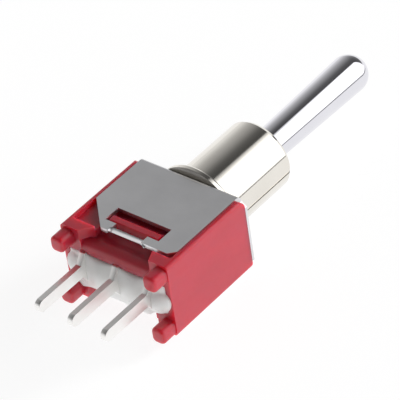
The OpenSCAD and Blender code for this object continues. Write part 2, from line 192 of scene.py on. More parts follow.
def silverStrip(s):
    material, tree, shader = newMaterial("silveredCopper", 1.0)
    coloured(tree, shader, objectNoise(tree, *s["tarnish"]), s["dark"], s["light"])
    roughened(tree, shader, objectNoise(tree, *s["grain"]), *s["rough"])
    bumped(tree, shader, objectNoise(tree, *s["marks"]), *s["markDepth"])
    return material


resinLook = {
    "cloud": (700, 4.0, 0.6), "dark": (0.88, 0.88, 0.865), "light": (0.93, 0.93, 0.92),
    "haze": (1800, 3.0), "rough": (0.26, 0.4), "glow": (0.15, (0.0004, 0.0004, 0.00038)),
    "waves": (1600, 4.0, 0.6), "waveDepth": (0.1, 0.00003),
}


def pouredResin(s):
    material, tree, shader = newMaterial("pouredResin")
    coloured(tree, shader, objectNoise(tree, *s["cloud"]), s["dark"], s["light"])
    roughened(tree, shader, objectNoise(tree, *s["haze"]), *s["rough"])
    glowing(shader, *s["glow"])
    bumped(tree, shader, objectNoise(tree, *s["waves"]), *s["waveDepth"])
    return material


metalLook = {
    "cloud": (1800, 4.0), "lighter": 1.1, "haze": (5000, 3.0), "roughSpan": 0.12,
    "pinSteel": ((0.5, 0.5, 0.5), 0.25), "springSteel": ((0.42, 0.42, 0.43), 0.28),
    "contactSilver": ((0.8, 0.79, 0.78), 0.22),
}


def plainMetal(s, name):
    colour, rough = s[name]
    material, tree, shader = newMaterial(name, 1.0)
    light = tuple(min(1.0, c * s["lighter"]) for c in colour)
    coloured(tree, shader, objectNoise(tree, *s["cloud"]), colour, light)
    roughened(tree, shader, objectNoise(tree, *s["haze"]), rough, rough + s["roughSpan"])
    return material


nylonLook = {
    "cloud": (900, 3.0), "dark": (0.72, 0.68, 0.56), "light": (0.8, 0.77, 0.67),
    "haze": (3000, 3.0), "rough": (0.4, 0.5), "glow": (0.2, (0.0003, 0.0003, 0.0002)),
}


def naturalNylon(s):
    material, tree, shader = newMaterial("naturalNylon")
    coloured(tree, shader, objectNoise(tree, *s["cloud"]), s["dark"], s["light"])
    roughened(tree, shader, objectNoise(tree, *s["haze"]), *s["rough"])
    glowing(shader, *s["glow"])
    return material


finishes = {
    "red_plastic": redPlastic(redLook),
    "sheet_steel": satinSteel(steelLook),
    "nickel_plate": turnedPlate(plateLook, "nickelPlate"),
    "chrome_plate": turnedPlate(plateLook, "chromePlate"),
    "pin_steel": plainMetal(metalLook, "pinSteel"),
    "nylon": naturalNylon(nylonLook),
    "spring_steel": plainMetal(metalLook, "springSteel"),
    "silvered_copper": silverStrip(stripLook),
    "contact_silver": plainMetal(metalLook, "contactSilver"),
    "white_resin": pouredResin(resinLook),
}
for part in record["subparts"]:
    for slot in nodes[part["node"]].material_slots:
        slot.material = finishes[part["material_slot"]]
print("materials made:", len(finishes))


# mesh helpers, all in millimetres

touch = 0.001  # how far off a plane a vertex still counts as on it


def vertsOf(geom):
    return [g for g in geom if isinstance(g, bmesh.types.BMVert)]


def boxMesh(low, high):
    bm = bmesh.new()
    bmesh.ops.create_cube(bm, size=1.0)
    size = Vector(high) - Vector(low)
    bmesh.ops.scale(bm, vec=size, verts=bm.verts)
    bmesh.ops.translate(bm, vec=(Vector(high) + Vector(low)) / 2, verts=bm.verts)
    return bm


def rounded(bm, edges, radius, segments=6):
    bmesh.ops.bevel(bm, geom=edges, offset=radius, offset_type="OFFSET", segments=segments,
                    profile=0.5, affect="EDGES", clamp_overlap=True, material=-1)
    return bm


def edgesAlong(bm, axis):
    return [e for e in bm.edges if abs((e.verts[1].co - e.verts[0].co).normalized()[axis]) > 0.99]


def prismMesh(corners, reach):
    bm = bmesh.new()
    face = bm.faces.new([bm.verts.new(c) for c in corners])
    grown = bmesh.ops.extrude_face_region(bm, geom=[face])
    bmesh.ops.translate(bm, vec=reach, verts=vertsOf(grown["geom"]))
    bmesh.ops.recalc_face_normals(bm, faces=bm.faces)
    return bm


def draftObject(bm, name):
    mesh = bpy.data.meshes.new(name)
    bm.to_mesh(mesh)
    bm.free()
    obj = bpy.data.objects.new(name, mesh)
    bpy.context.collection.objects.link(obj)
    return obj


def meshFrom(obj):
    bpy.context.view_layer.update()
    shape = obj.evaluated_get(bpy.context.evaluated_depsgraph_get())
    bm = bmesh.new()
    bm.from_mesh(shape.to_mesh())
    shape.to_mesh_clear()
    return bm


def discard(obj):
    mesh = obj.data
    bpy.data.objects.remove(obj)
    bpy.data.meshes.remove(mesh)


def joined(bm, tools, operation):
    base = draftObject(bm, "draft")
    for tool in tools:
        other = draftObject(tool, "tool")
        cut = base.modifiers.new("cut", "BOOLEAN")
        cut.operation = operation
        cut.solver = "EXACT"
        cut.object = other
        result = meshFrom(base)
        base.modifiers.clear()
        result.to_mesh(base.data)
        result.free()
        discard(other)
    bm = bmesh.new()
    bm.from_mesh(base.data)
    discard(base)
    return bm


def softEdges(bm, width, segments, angle):
    bmesh.ops.remove_doubles(bm, verts=bm.verts, dist=0.0005)
    bmesh.ops.dissolve_limit(bm, angle_limit=math.radians(0.5), verts=bm.verts, edges=bm.edges)
    sharp = [e for e in bm.edges if len(e.link_faces) == 2 and e.calc_face_angle(0) > math.radians(angle)]
    rounded(bm, sharp, width, segments)
    bmesh.ops.recalc_face_normals(bm, faces=bm.faces)
    return bm


def finishedPiece(bm, name, node, body, slotName, sharpAngle=40, weighted=True):
    bmesh.ops.scale(bm, vec=(mm, mm, mm), verts=bm.verts)
    obj = draftObject(bm, name)
    obj.data.name = name
    obj.data.shade_smooth()
    obj.data.set_sharp_from_angle(angle=math.radians(sharpAngle))
    if weighted:
        level = obj.modifiers.new("flatFaces", "WEIGHTED_NORMAL")
        level.keep_sharp = True
    obj.data.materials.append(finishes[slotName])
    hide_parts(node)
    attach(obj, body)
    print("piece made:", name, len(obj.data.polygons), "faces")
    return obj


def addLine(bm, vert, *points):
    for point in points:
        grown = bmesh.ops.extrude_vert_indiv(bm, verts=[vert])
        vert = grown["verts"][0]
        vert.co = (point[0], point[1], 0)
    return vert


def addArc(bm, vert, centre, degrees, steps):
    turned = bmesh.ops.spin(bm, geom=[vert], cent=(*centre, 0), axis=(0, 0, 1),
                            angle=math.radians(degrees), steps=steps)
    return vertsOf(turned["geom_last"])[0]


def turnedAround(bm, steps):
    bmesh.ops.remove_doubles(bm, verts=bm.verts, dist=0.0002)
    bmesh.ops.spin(bm, geom=bm.verts[:] + bm.edges[:], cent=(0, 0, 0), axis=(0, 1, 0),
                   angle=math.tau, steps=steps, use_merge=True)
    bmesh.ops.remove_doubles(bm, verts=bm.verts, dist=0.0002)
    bmesh.ops.recalc_face_normals(bm, faces=bm.faces)
    return bm


# red case

caseShape = {
    "halfWidth": 4.1, "halfThickness": 2.64, "base": -7.85, "top": -0.55, "plateUnder": -0.65,
    "edgeRadius": 0.25, "edgeSteps": 8, "rimRound": (0.35, 0.7), "rimSteps": 14,  # low rim, high rim
    "channelHalf": 3.75, "channelFace": 2.32, "padTop": -7.04,
    "recessFace": 1.83, "recessTop": -6.06, "recessSides": (-2.06, 2.38), "recessMouth": 2.71,
    "coreRound": 0.66, "coreInset": 0.08, "coreSteps": 9,
    "cavity": (3.5, 1.2, -6.088), "well": (3.68, 0.99, -7.25), "slotHalf": (0.26, 1.14), "pitch": 2.54,
    "pocket": (1.97, -4.8, 2.12), "latchHalf": 1.85,
    "latchProfile": ((-6.06, 1.6), (-6.06, 2.05), (-5.94, 2.5), (-5.55, 2.5), (-5.0, 2.05), (-5.0, 1.6)),
    "footAcross": (3.06, 4.04), "footDepth": ((1.4, 2.46), (-2.6, -1.52)), "footEnd": -9.0, "footRoot": 0.2,
    "footRadius": 0.35, "footTip": 0.22, "footSteps": (6, 5),
    "softEdge": 0.055, "overlap": 0.1, "cutReach": 10,
}


def caseBlank(s):
    thick, far = s["halfThickness"], s["cutReach"]
    bm = boxMesh((-s["halfWidth"], s["base"], -thick), (s["halfWidth"], s["top"], thick))
    rounded(bm, edgesAlong(bm, 1), s["edgeRadius"], s["edgeSteps"])
    hood = boxMesh((-far, -far, -thick), (far, s["top"], thick))
    for side, radius in zip((-1, 1), s["rimRound"]):
        rim = [e for e in edgesAlong(hood, 0) if e.verts[0].co.y > s["base"] and e.verts[0].co.z * side > 0
               and e.calc_face_angle(0) > 1]  # skips the flat edges of the first rounding
        rounded(hood, rim, radius, s["rimSteps"])
    return joined(bm, [hood], "INTERSECT")


def caseCuts(s):
    far, lap = s["cutReach"], s["overlap"]
    base, face, mouth = s["base"], s["recessFace"], s["recessMouth"]
    left, right = s["recessSides"]
    recess = [(-mouth, -far), (-mouth, base), (left, s["padTop"]), (left, s["recessTop"]),
              (right, s["recessTop"]), (right, s["padTop"]), (mouth, base), (mouth, -far)]
    core, reach = s["coreRound"], mouth - s["coreInset"]
    bend = [(base + core - core * math.cos(a), face - core + core * math.sin(a))
            for a in (math.radians(90 * i / s["coreSteps"]) for i in range(s["coreSteps"] + 1))]
    outline = [(base - lap, face - core), *bend, (base + core, face + lap), (base - lap, face + lap)]
    pocketHalf, pocketTop, pocketFace = s["pocket"]
    cuts = [boxMesh((-s["channelHalf"], s["plateUnder"], -far), (s["channelHalf"], far, far))]
    for side in (-1, 1):
        for half, low, high, depth in ((s["channelHalf"], s["padTop"], far, s["channelFace"]),
                                       (pocketHalf, s["recessTop"] - lap, pocketTop, pocketFace)):
            near, outer = sorted((side * depth, side * far))
            cuts.append(boxMesh((-half, low, near), (half, high, outer)))
        cuts.append(prismMesh([(x, y, side * face) for x, y in recess], (0, 0, side * far)))
        cuts.append(prismMesh([(-reach, y, side * z) for y, z in outline], (2 * reach, 0, 0)))
    cavityHalf, cavityThick, cavityFloor = s["cavity"]
    cuts.append(boxMesh((-cavityHalf, cavityFloor, -cavityThick), (cavityHalf, far, cavityThick)))
    wellHalf, wellThick, wellFloor = s["well"]
    cuts.append(boxMesh((-wellHalf, -far, -wellThick), (wellHalf, wellFloor, wellThick)))
    slotHalf, slotThick = s["slotHalf"]
    for i in (-1, 0, 1):
        x = i * s["pitch"]
        cuts.append(boxMesh((x - slotHalf, -far, -slotThick), (x + slotHalf, cavityFloor + lap, slotThick)))
    return cuts


def footPosts(s):
    posts = []
    sideSteps, tipSteps = s["footSteps"]
    for near, outer in s["footDepth"]:
        for end in (-1, 1):
            left, right = sorted(end * v for v in s["footAcross"])
            post = boxMesh((left, s["footEnd"], near), (right, s["base"] + s["footRoot"], outer))
            rounded(post, edgesAlong(post, 1), s["footRadius"], sideSteps)
            tip = [e for e in post.edges if max(v.co.y for v in e.verts) < s["footEnd"] + touch]
            posts.append(rounded(post, tip, s["footTip"], tipSteps))
    return posts


def makeCase(s):
    bm = joined(caseBlank(s), caseCuts(s), "DIFFERENCE")
    latches = []
    for side in (-1, 1):
        corners = [(-s["latchHalf"], y, side * z) for y, z in s["latchProfile"]]
        latches.append(prismMesh(corners, (2 * s["latchHalf"], 0, 0)))
    bm = softEdges(joined(bm, latches, "UNION"), s["softEdge"], 3, 40)
    bm = joined(bm, footPosts(s), "UNION")
    bmesh.ops.recalc_face_normals(bm, faces=bm.faces)
    return finishedPiece(bm, "redCase", "case", "housing", "red_plastic", 35)


makeCase(caseShape)


# steel bracket

bracketShape = {
    "half": 3.71, "plateHalf": 4.09, "plateRise": 1.9, "outer": 2.64, "top": -0.35, "thick": 0.3,
    "bend": 0.45, "bendSteps": 10, "legEnd": -6.91, "shortEnd": -6.8,
    "windowHalf": 2.05, "windowShift": 0.1, "windowLow": -6.18, "windowTop": -4.98,
    "lipHalf": 1.2, "lipBlend": 0.1, "blendLoops": 4,
    "lipTop": -6.57, "lipFold": (44, 84), "lipShare": 0.95, "lipLoops": 9,
    "bigCorner": 2.0, "smallCorner": 0.45, "boreRadius": 1.89, "boreSides": 64, "softEdge": 0.035,
}


def cutPlane(bm, point, normal, clear=False):
    bmesh.ops.bisect_plane(bm, geom=bm.verts[:] + bm.edges[:] + bm.faces[:], dist=0.0001,
                           plane_co=point, plane_no=normal, clear_outer=clear)


def makeBracket(s):
    bm = bmesh.new()
    flat = s["outer"] - s["bend"]
    start = bm.verts.new((-s["half"], s["legEnd"], s["outer"]))
    shoulder = s["top"] - s["bend"]
    def along(vert, point):
        grown = bmesh.ops.extrude_vert_indiv(bm, verts=[vert])["verts"][0]
        grown.co = (-s["half"], *point)
        return grown
    def bend(vert, centre):
        turned = bmesh.ops.spin(bm, geom=[vert], cent=(-s["half"], *centre), axis=(1, 0, 0),
                                angle=math.radians(-90), steps=s["bendSteps"])
        return vertsOf(turned["geom_last"])[0]
    vert = along(start, (shoulder, s["outer"]))
    vert = bend(vert, (shoulder, flat))
    vert = along(vert, (s["top"], -flat))
    vert = bend(vert, (shoulder, -flat))
    along(vert, (s["legEnd"], -s["outer"]))
    swept = bmesh.ops.extrude_edge_only(bm, edges=bm.edges[:])
    bmesh.ops.translate(bm, vec=(2 * s["half"], 0, 0), verts=vertsOf(swept["geom"]))
    bmesh.ops.remove_doubles(bm, verts=bm.verts, dist=0.0002)
    for side in (-1, 1):  # the plate reaches over the end walls
        edge = [e for e in bm.edges if all(v.co.y > s["top"] - touch and v.co.x * side > s["half"] - touch
                                           for v in e.verts)]
        for vert in vertsOf(bmesh.ops.extrude_edge_only(bm, edges=edge)["geom"]):
            vert.co.x, vert.co.z = side * s["plateHalf"], min(vert.co.z, s["plateRise"])
    bmesh.ops.recalc_face_normals(bm, faces=bm.faces)
    plate = max(bm.faces, key=lambda f: f.calc_center_median().y)
    if plate.normal.y < 0:
        bmesh.ops.reverse_faces(bm, faces=bm.faces)
    loops = s["blendLoops"]
    blend = [s["lipHalf"] + s["lipBlend"] * i / loops for i in range(-loops, loops + 1)]
    shift = s["windowShift"]
    for x in (s["windowHalf"], *blend):
        for side in (-1, 1):
            cutPlane(bm, (side * x + shift, 0, 0), (1, 0, 0))
    lipReach = s["lipTop"] - s["legEnd"]
    rolls = [s["lipTop"] - lipReach * i / s["lipLoops"] for i in range(1, s["lipLoops"])]  # loops that fold the lip
    for y in (s["windowLow"], s["windowTop"], s["lipTop"], s["shortEnd"], *rolls):
        cutPlane(bm, (0, y, 0), (0, 1, 0))
    gone = []
    for face in bm.faces:
        c = face.calc_center_median()
        across = abs(c.x - shift)
        inWindow = across < s["windowHalf"] and s["windowLow"] < c.y < s["windowTop"]
        inNotch = across < s["lipHalf"] and s["lipTop"] < c.y < s["windowLow"]
        inCut = c.x > shift + s["lipHalf"] + s["lipBlend"] and c.y < s["shortEnd"]
        if inWindow or inNotch or inCut:
            gone.append(face)
    bmesh.ops.delete(bm, geom=gone, context="FACES")
    foldTop, foldLow = s["lipFold"]
    for vert in bm.verts:
        across = abs(vert.co.x - shift)
        if across < s["lipHalf"] + s["lipBlend"] and vert.co.y < s["lipTop"] + touch:
            t = min(max((s["lipHalf"] + s["lipBlend"] - across) / (2 * s["lipBlend"]), 0), 1)
            eased = t * t * (3 - 2 * t)
            down = (s["lipTop"] - vert.co.y) * (1 + (s["lipShare"] - 1) * eased)
            fold = foldTop + (foldLow - foldTop) * down / (2 * lipReach)  # mean angle from the top of the lip
            lean = math.radians(fold * eased)
            vert.co.y = s["lipTop"] - down * math.cos(lean)
            vert.co.z -= math.copysign(down * math.sin(lean), vert.co.z)
    cutPlane(bm, (-s["half"] + s["bigCorner"], s["legEnd"], 0), (-1, -1, 0), True)
    cutPlane(bm, (s["half"] - s["smallCorner"], s["shortEnd"], 0), (1, -1, 0), True)
    sheet = draftObject(bm, "sheet")
    wall = sheet.modifiers.new("wall", "SOLIDIFY")
    wall.thickness = s["thick"]
    wall.offset = -1
    wall.use_even_offset = True
    bm = meshFrom(sheet)
    discard(sheet)
    bore = bmesh.new()
    bmesh.ops.create_cone(bore, cap_ends=True, segments=s["boreSides"], radius1=s["boreRadius"],
                          radius2=s["boreRadius"], depth=2)
    bmesh.ops.rotate(bore, cent=(0, 0, 0), matrix=Matrix.Rotation(math.radians(90), 3, "X"), verts=bore.verts)
    bm = joined(bm, [bore], "DIFFERENCE")
    softEdges(bm, s["softEdge"], 2, 45)
    return finishedPiece(bm, "steelBracket", "bracket", "housing", "sheet_steel", 35)


makeBracket(bracketShape)


# turned bushing

bushingShape = {
    "radius": 2.44, "height": 5.9, "rimCut": 0.142, "rimDrop": 0.226, "flangeRadius": 3.04, "flangeThick": 0.35,
    "flangeCut": (0.05, 0.1), "flangeEdge": 0.02, "rootFillet": 0.04,
    "spigot": 1.87, "swage": 2.0, "swageRise": 0.05, "plateUnder": -0.65, "spigotEnd": -0.95,
    "seat": 1.55, "seatSteps": 8, "pivot": 2.4, "waist": 1.33, "mouth": 1.937,
    "keyHalf": 0.6, "keyDraft": 0.02, "keyFloor": 2.3, "keyTurn": -5, "steps": 144,
}


def makeBushing(s):
    bm = bmesh.new()
    first = bm.verts.new((s["seat"], s["spigotEnd"], 0))
    vert = addLine(bm, first, (s["seat"], s["pivot"]))
    vert = addArc(bm, vert, (0, s["pivot"]), math.degrees(math.acos(s["waist"] / s["seat"])), s["seatSteps"])
    edge, fillet = s["flangeEdge"], s["rootFillet"]
    cutIn, cutDown = s["flangeCut"]
    vert = addLine(bm, vert, (s["mouth"], s["height"]), (s["radius"] - s["rimCut"], s["height"]),
                   (s["radius"], s["height"] - s["rimDrop"]), (s["radius"], fillet), (s["radius"] + fillet, 0),
                   (s["flangeRadius"] - cutIn, 0), (s["flangeRadius"], -cutDown),
                   (s["flangeRadius"], edge - s["flangeThick"]), (s["flangeRadius"] - edge, -s["flangeThick"]),
                   (s["spigot"], -s["flangeThick"]), (s["spigot"], s["plateUnder"]),
                   (s["swage"], s["plateUnder"] - s["swageRise"]), (s["swage"], s["spigotEnd"]))
    bm.edges.new((vert, first))
    turnedAround(bm, s["steps"])
    for z in (s["keyHalf"], s["keyHalf"] + s["keyDraft"]):
        for side in (-1, 1):
            cutPlane(bm, (0, 0, side * z), (0, 0, 1))
    for vert in bm.verts:  # the keyway's floor, down to the flange
        inKey = vert.co.y > -touch and abs(vert.co.z) < s["keyHalf"] + touch and vert.co.x > s["keyFloor"]
        if inKey and (vert.co.y > fillet / 2 or vert.co.x < s["radius"] + 2 * fillet):
            vert.co.x = s["keyFloor"]
    turn = Matrix.Rotation(math.radians(s["keyTurn"]), 3, "Y")
    bmesh.ops.rotate(bm, cent=(0, 0, 0), matrix=turn, verts=bm.verts)
    bmesh.ops.recalc_face_normals(bm, faces=bm.faces)
    return finishedPiece(bm, "nickelBushing", "bushing", "housing", "nickel_plate", 20)


makeBushing(bushingShape)


# bat lever

leverShape = {
    "stem": 0.7, "stemEnd": -2.1, "bore": 0.46, "boreTop": 0.6, "ball": 1.48, "ballSteps": 24, "pivot": 2.4,
    "neck": 1.08, "neckTop": 5.9, "tip": 1.29, "tipSteps": 16, "tipCentre": 15.109, "steps": 128,
}


def makeLever(s):
    bm = bmesh.new()
    rise = math.sqrt(s["ball"] ** 2 - s["stem"] ** 2)
    startAngle = -math.degrees(math.atan2(rise, s["stem"]))
    endAngle = math.degrees(math.acos(s["neck"] / s["ball"]))
    vert = bm.verts.new((0, s["boreTop"], 0))
    vert = addLine(bm, vert, (s["bore"], s["boreTop"]), (s["bore"], s["stemEnd"]), (s["stem"], s["stemEnd"]),
                   (s["stem"], s["pivot"] - rise))
    vert = addArc(bm, vert, (0, s["pivot"]), endAngle - startAngle, s["ballSteps"])
    vert = addLine(bm, vert, (s["neck"], s["neckTop"]), (s["tip"], s["tipCentre"]))
    vert = addArc(bm, vert, (0, s["tipCentre"]), 90, s["tipSteps"])
    turnedAround(bm, s["steps"])
    return finishedPiece(bm, "chromeLever", "lever", "lever", "chrome_plate", 30, False)


makeLever(leverShape)


# coil spring above the plunger

springShape = {
    "coil": 0.36, "wire": 0.07, "low": -0.82, "high": 0.52, "turns": 6, "sides": 10, "stepsPerTurn": 24,
    "seat": 0.6, "shut": 0.7333,
}


def makeSpring(s):
    bm = bmesh.new()
    bmesh.ops.create_circle(bm, segments=s["sides"], radius=s["wire"])
    bmesh.ops.translate(bm, vec=(s["coil"], s["low"], 0), verts=bm.verts)
    steps = s["turns"] * s["stepsPerTurn"]
    bmesh.ops.spin(bm, geom=bm.verts[:] + bm.edges[:], cent=(0, 0, 0), axis=(0, 1, 0), steps=steps,
                   dvec=(0, (s["high"] - s["low"]) / steps, 0), angle=math.tau * s["turns"])
    bmesh.ops.remove_doubles(bm, verts=bm.verts, dist=0.0002)
    bmesh.ops.holes_fill(bm, edges=[e for e in bm.edges if e.is_boundary])
    bmesh.ops.recalc_face_normals(bm, faces=bm.faces)
    spring = finishedPiece(bm, "coilSpring", "plunger_spring", "lever", "spring_steel", 50, False)
    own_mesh(spring)


makeSpring(springShape)


# blade terminals

bladeShape = {
    "half": 1.1, "slim": 0.425, "shoulderTop": -8.0, "shoulderLow": -8.45, "end": -12.347, "thick": 0.4,
    "pitch": 2.54, "tabTop": -5.688, "tabLow": -6.088, "tabSpan": (2.22, 3.3), "ridge": -4.67,
    "tipRound": 0.42415, "tipSteps": 10, "ridgeRound": 0.198, "ridgeSteps": 6, "softEdge": 0.06,
}


def makeBlade(s, name, node, place):
    top = s["ridge"] if place == 0 else s["tabTop"]
    x = place * s["pitch"] - s["thick"] / 2
    corners = [(x, top, -s["half"]), (x, s["shoulderTop"], -s["half"]), (x, s["shoulderLow"], -s["slim"]),
               (x, s["end"], -s["slim"]), (x, s["end"], s["slim"]), (x, s["shoulderLow"], s["slim"]),
               (x, s["shoulderTop"], s["half"]), (x, top, s["half"])]
    bm = prismMesh(corners, (s["thick"], 0, 0))
    tips = [e for e in edgesAlong(bm, 0) if e.verts[0].co.y < s["end"] + touch]
    rounded(bm, tips, s["tipRound"], s["tipSteps"])
    if place == 0:
        ridge = [e for e in edgesAlong(bm, 2) if e.verts[0].co.y > top - touch]
        rounded(bm, ridge, s["ridgeRound"], s["ridgeSteps"])
    else:
        low, high = sorted(place * v for v in s["tabSpan"])
        tab = boxMesh((low, s["tabLow"], -s["half"]), (high, top, s["half"]))
        bm = joined(bm, [tab], "UNION")
    softEdges(bm, s["softEdge"], 3, 32)
    return finishedPiece(bm, name, node, "housing", "silvered_copper", 40)


makeBlade(bladeShape, "leftBlade", "left_terminal", -1)
makeBlade(bladeShape, "middleBlade", "common_terminal", 0)
makeBlade(bladeShape, "rightBlade", "right_terminal", 1)


# poured potting

pottingShape = {
    "base": -7.85, "halfX": 3.66, "pitch": 2.54, "rows": 60, "columns": 160,
    "edgeUp": ((-3.66, 0.95), (-1.3, 0.93), (1.3, 0.93), (3.0, 1.03), (3.66, 1.05)), "cusp": (0.2, 0.35),
    "edgeDown": ((-3.66, -1.6), (-3.2, -1.88), (-2.3, -1.68), (-1.7, -1.58), (-1.0, -1.76),
                 (2.1, -1.78), (2.6, -1.45), (3.66, -1.1)),
    "bulge": 0.52, "round": (2.0, 0.55), "dip": 0.5, "endFall": 6, "ripple": (0.03, 1.3, 2.3),
    "wellHalf": (3.66, 0.97), "wellFloor": -7.4, "grip": 0.05,
    "blobs": ((3.1, -0.38, 45, 0.76, 0.5, 1.05), (-3.2, -0.15, 0, 0.8, 0.45, 0.95)),
    "blobBase": -7.8, "voxel": 0.04, "passes": 12,
}


def smoothLevel(stops, value):
    stops = sorted(stops)
    if value <= stops[0][0]:
        return stops[0][1]
    for (a, low), (b, high) in zip(stops, stops[1:]):
        if value <= b:
            t = (value - a) / (b - a)
            return low + (high - low) * t * t * (3 - 2 * t)
    return stops[-1][1]


def makePotting(s):
    bm = bmesh.new()
    bmesh.ops.create_grid(bm, x_segments=s["columns"], y_segments=s["rows"], size=1.0)
    rise, reach = s["cusp"]
    power, blunt = s["round"]
    rippleDepth, rippleScale, rippleSlice = s["ripple"]
    for vert in bm.verts:
        x, share = vert.co.x * s["halfX"], (vert.co.y + 1) / 2
        away = min(abs(x - i * s["pitch"]) for i in (-1, 0, 1))
        high = smoothLevel(s["edgeUp"], x) + rise * math.exp(-(away / reach) ** 2)
        low = smoothLevel(s["edgeDown"], x)
        z = low + (high - low) * share
        beside = min(away / s["pitch"], 0.5) if abs(x) < s["pitch"] else 0
        lobe = 1 - s["dip"] * (1 + math.cos(math.tau * beside)) / 2  # lower beside each blade
        lobe *= 1 - abs(x / s["halfX"]) ** s["endFall"]
        depth = s["bulge"] * lobe * max(1 - abs(2 * share - 1) ** power, 0) ** blunt
        depth += rippleDepth * noise.noise((x * rippleScale, z * rippleScale, rippleSlice))
        vert.co = (x, s["base"] - depth, z)
    rim = [e for e in bm.edges if e.is_boundary]
    wellX, wellZ = s["wellHalf"]
    skin = s["base"] + s["grip"]
    for level, inside in ((skin, False), (skin, True), (s["wellFloor"], True)):  # skirt, shelf and plug
        grown = bmesh.ops.extrude_edge_only(bm, edges=rim)["geom"]
        rim = [g for g in grown if isinstance(g, bmesh.types.BMEdge)]
        for vert in vertsOf(grown):
            vert.co.y = level
            if inside:
                vert.co.x = max(-wellX, min(wellX, vert.co.x))
                vert.co.z = max(-wellZ, min(wellZ, vert.co.z))
    bmesh.ops.remove_doubles(bm, verts=bm.verts, dist=0.0003)
    bmesh.ops.holes_fill(bm, edges=[e for e in bm.edges if e.is_boundary])
    bmesh.ops.recalc_face_normals(bm, faces=bm.faces)
    for x, z, turn, *radii in s["blobs"]:
        place = Matrix.Translation((x, s["blobBase"], z)) @ Matrix.Rotation(math.radians(turn), 4, "Y")
        place = place @ Matrix.Diagonal((*radii, 1))
        bmesh.ops.create_icosphere(bm, subdivisions=4, radius=1.0, matrix=place)
    draft = draftObject(bm, "resinDraft")
    melt = draft.modifiers.new("melt", "REMESH")
    melt.mode = "VOXEL"
    melt.voxel_size = s["voxel"]
    bm = meshFrom(draft)
    discard(draft)
    for _ in range(s["passes"]):
        bmesh.ops.smooth_vert(bm, verts=bm.verts, factor=0.5, use_axis_x=True, use_axis_y=True, use_axis_z=True)
    bmesh.ops.recalc_face_normals(bm, faces=bm.faces)
    return finishedPiece(bm, "whitePotting", "potting", "housing", "white_resin", 80, False)


makePotting(pottingShape)


# studio: white floor, bright wide side, dark gap at the back, dim overhead

studio = {
    "floorHeight": -3.06, "floorReach": 3.0, "floorColour": 0.86, "floorGlow": 1.12, "glowShare": 0.8,
    "sideTurn": (-10, 77), "sideSoft": (15, 3), "sideRise": (-0.08, 0.75, 0.82), "sideCap": (20, 34, 0.36, 0.5),
    "sideLevel": 1.65, "aboveLevel": 0.1, "edgeSoft": 0.015,
    "front": (-0.1, 0.35, 0.22), "frontTurn": (142, 152), "frontRise": (0.26, 0.36),
    "asideTurn": (-116, -94, -30, -10), "asideRise": (0.0, 0.1),
    "seam": (-0.18, 0.3), "seamSoft": (0.02, 0.01),
    "turn": ((-180, 0.5), (-150, 0.5), (-142, 1.0), (77, 1.0), (80, 0.14), (90, 0.14), (107, 0.19), (115, 0.26),
             (122, 0.36), (128, 0.47), (137, 0.66), (145, 0.84), (151, 0.88), (160, 0.5), (180, 0.5)),
    "rise": ((-1.0, 1.0), (0.2, 1.0), (0.34, 0.83), (0.45, 0.71), (0.56, 0.65), (0.8, 0.62), (0.86, 0.4), (1.0, 0.2)),
    "gapFoot": (0.02, 0.1),
    "keyTurn": 60, "keyRise": 22, "keySpread": 18, "keyLevel": 1.9,
}


def rampNode(tree, source, stops, low, high):
    ramp = addNode(tree, "ShaderNodeValToRGB")
    elements = ramp.color_ramp.elements
    while len(elements) < len(stops):
        elements.new(0.5)
    for element, (place, level) in zip(elements, stops):
        element.position = (place - low) / (high - low)
        element.color = (level, level, level, 1)
    tree.links.new(spread(tree, source, 0.0, 1.0, low, high), ramp.inputs["Fac"])
    return ramp.outputs["Color"]


def mathNode(tree, operation, first, second):
    node = addNode(tree, "ShaderNodeMath", operation=operation)
    for socket, value in zip(node.inputs, (first, second)):
        if isinstance(value, (int, float)):
            socket.default_value = value
        else:
            tree.links.new(value, socket)
    return node.outputs["Value"]


def product(tree, first, *others):
    for other in others:
        first = mathNode(tree, "MULTIPLY", first, other)
    return first


def multiplied(tree, first, second):
    mix = addNode(tree, "ShaderNodeMix", {"Factor": 1.0}, data_type="RGBA", blend_type="MULTIPLY")
    tree.links.new(first, mix.inputs[6])
    tree.links.new(second, mix.inputs[7])
    return mix.outputs[2]


def grey(level):
    return (level, level, level)


def makeFloor(s):
    bm = bmesh.new()
    bmesh.ops.create_grid(bm, x_segments=1, y_segments=1, size=s["floorReach"])
    bmesh.ops.translate(bm, vec=(0, 0, s["floorHeight"] * mm), verts=bm.verts)
    floor = draftObject(bm, "studioFloor")
    material = bpy.data.materials.new("paleFloor")
    material.use_nodes = True
    tree = material.node_tree
    tree.nodes.clear()
    output = addNode(tree, "ShaderNodeOutputMaterial")
    matte = addNode(tree, "ShaderNodeBsdfDiffuse", {"Color": (*grey(s["floorColour"]), 1)})
    glow = addNode(tree, "ShaderNodeEmission", {"Color": (1, 1, 1, 1), "Strength": s["floorGlow"]})
    clear = addNode(tree, "ShaderNodeBsdfTransparent")
    path = addNode(tree, "ShaderNodeLightPath")
    seen = mathNode(tree, "MAXIMUM", path.outputs["Is Camera Ray"], path.outputs["Is Transmission Ray"])
    pale = addNode(tree, "ShaderNodeMixShader")
    tree.links.new(product(tree, seen, s["glowShare"]), pale.inputs["Fac"])
    tree.links.new(matte.outputs["BSDF"], pale.inputs[1])
    tree.links.new(glow.outputs["Emission"], pale.inputs[2])
    mirrored = addNode(tree, "ShaderNodeMixShader")  # the piece itself sees the white lower half of the dome
    tree.links.new(mathNode(tree, "SUBTRACT", 1.0, seen), mirrored.inputs["Fac"])
    tree.links.new(pale.outputs["Shader"], mirrored.inputs[1])
    tree.links.new(clear.outputs["BSDF"], mirrored.inputs[2])
    tree.links.new(mirrored.outputs["Shader"], output.inputs["Surface"])
    floor.data.materials.append(material)


